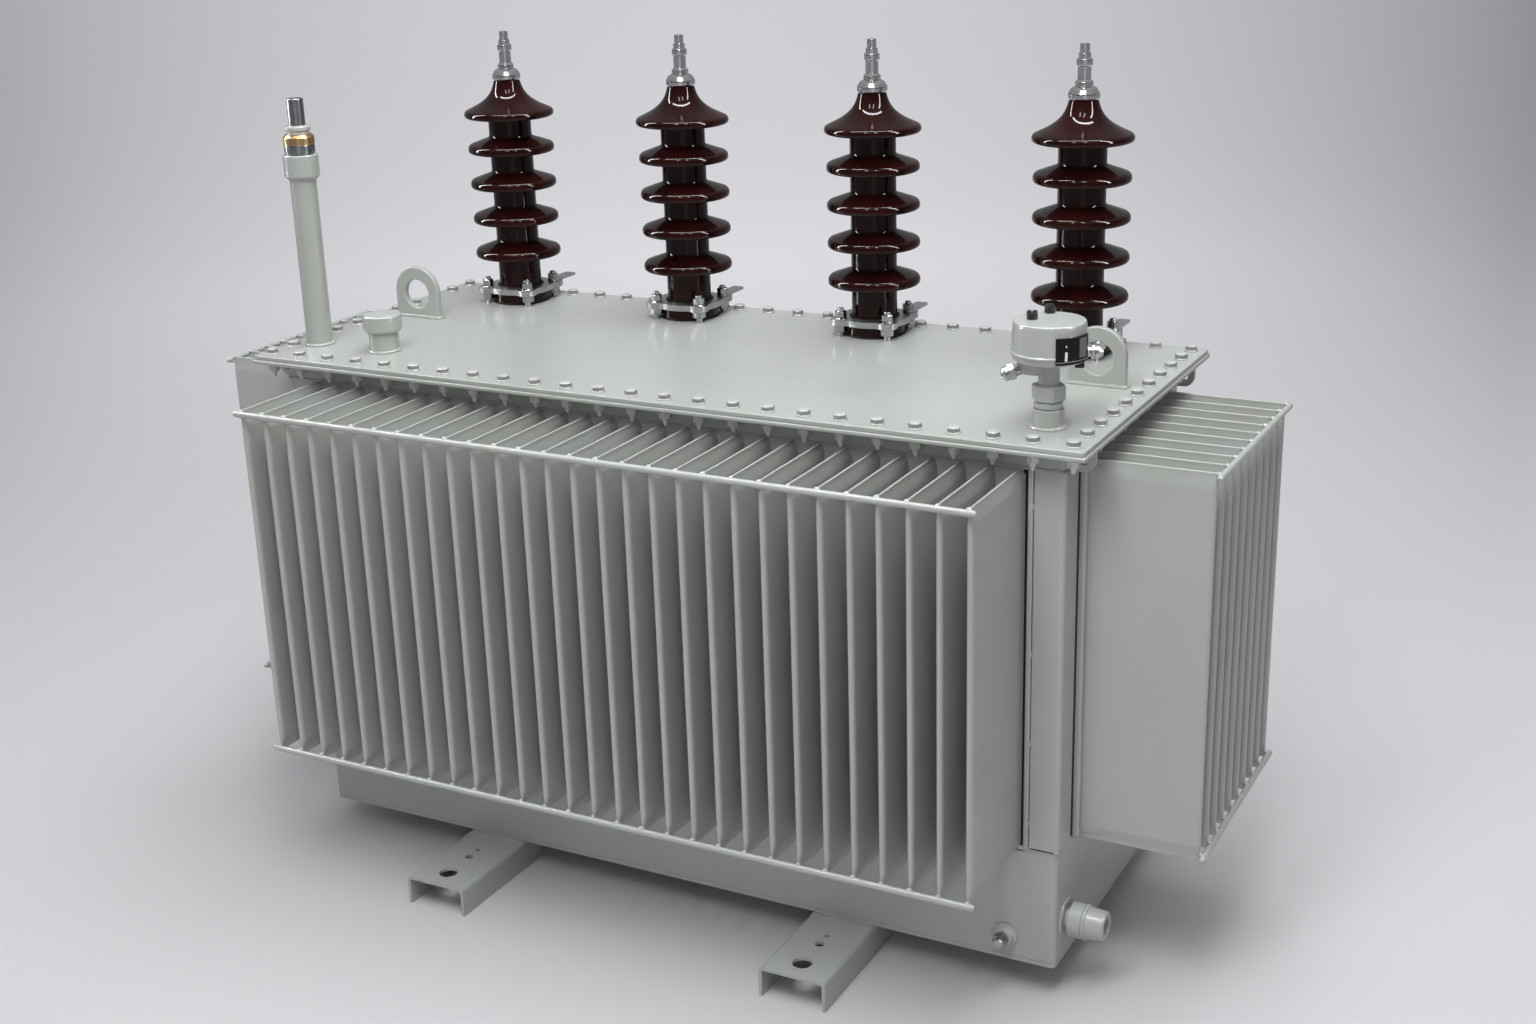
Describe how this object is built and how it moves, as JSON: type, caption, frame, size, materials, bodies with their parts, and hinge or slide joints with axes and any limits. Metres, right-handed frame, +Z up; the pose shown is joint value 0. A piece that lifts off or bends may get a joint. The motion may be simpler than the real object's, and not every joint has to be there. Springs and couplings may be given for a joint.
{
  "type": "oil-immersed shunt reactor",
  "caption": "Oil-immersed shunt reactor: finned steel tank on two skid channels, bolted cover with brown porcelain bushings, filler pipe, protection relay and drain valve.",
  "frame": {"origin": "on the ground under the middle of the tank", "axes": "+X along the tank towards the drain valve, +Y towards the bushing row, +Z up"},
  "size_m": [1.9586, 1.0286, 1.505],
  "materials": {
    "paint": "smooth grey-green enamel, semi-gloss",
    "glaze": "glossy dark brown glaze",
    "bright_metal": "bright cast and turned metal",
    "dark_steel": "turned steel",
    "brass": "turned brass",
    "window": "black glossy pane",
    "black_plastic": "black moulded plastic"
  },
  "bodies": {
    "root": {"skid_left": "paint", "skid_right": "paint", "tank_floor": "paint", "tank_skirt": "paint", "corner_posts": "paint", "fin_wall_front": "paint", "fin_wall_back": "paint", "fin_wall_left": "paint", "fin_wall_right": "paint", "fin_rails_front": "paint", "fin_rails_back": "paint", "fin_rails_left": "paint", "fin_rails_right": "paint", "tank_rim": "paint", "tank_flange": "paint", "cover": "paint", "lifting_lug_left": "paint", "lifting_lug_right": "paint", "lashing_eyes": "paint", "filler_pipe": "paint", "pipe_coupling": "paint", "pipe_collar": "paint", "filler_neck": "paint", "filler_cap": "paint", "relay_socket": "paint", "relay_nut": "paint", "relay_drum": "paint", "drain_valve": "paint", "earth_terminal": "paint", "insulator_1": "glaze", "bushing_clamp_1": "bright_metal", "terminal_1": "bright_metal", "insulator_2": "glaze", "bushing_clamp_2": "bright_metal", "terminal_2": "bright_metal", "insulator_3": "glaze", "bushing_clamp_3": "bright_metal", "terminal_3": "bright_metal", "insulator_4": "glaze", "bushing_clamp_4": "bright_metal", "terminal_4": "bright_metal", "pipe_steel_ring": "dark_steel", "pipe_stem": "dark_steel", "pipe_brass_ring": "brass", "relay_window": "window", "relay_knobs": "black_plastic", "relay_glands": "bright_metal"}
  },
  "joints": []
}
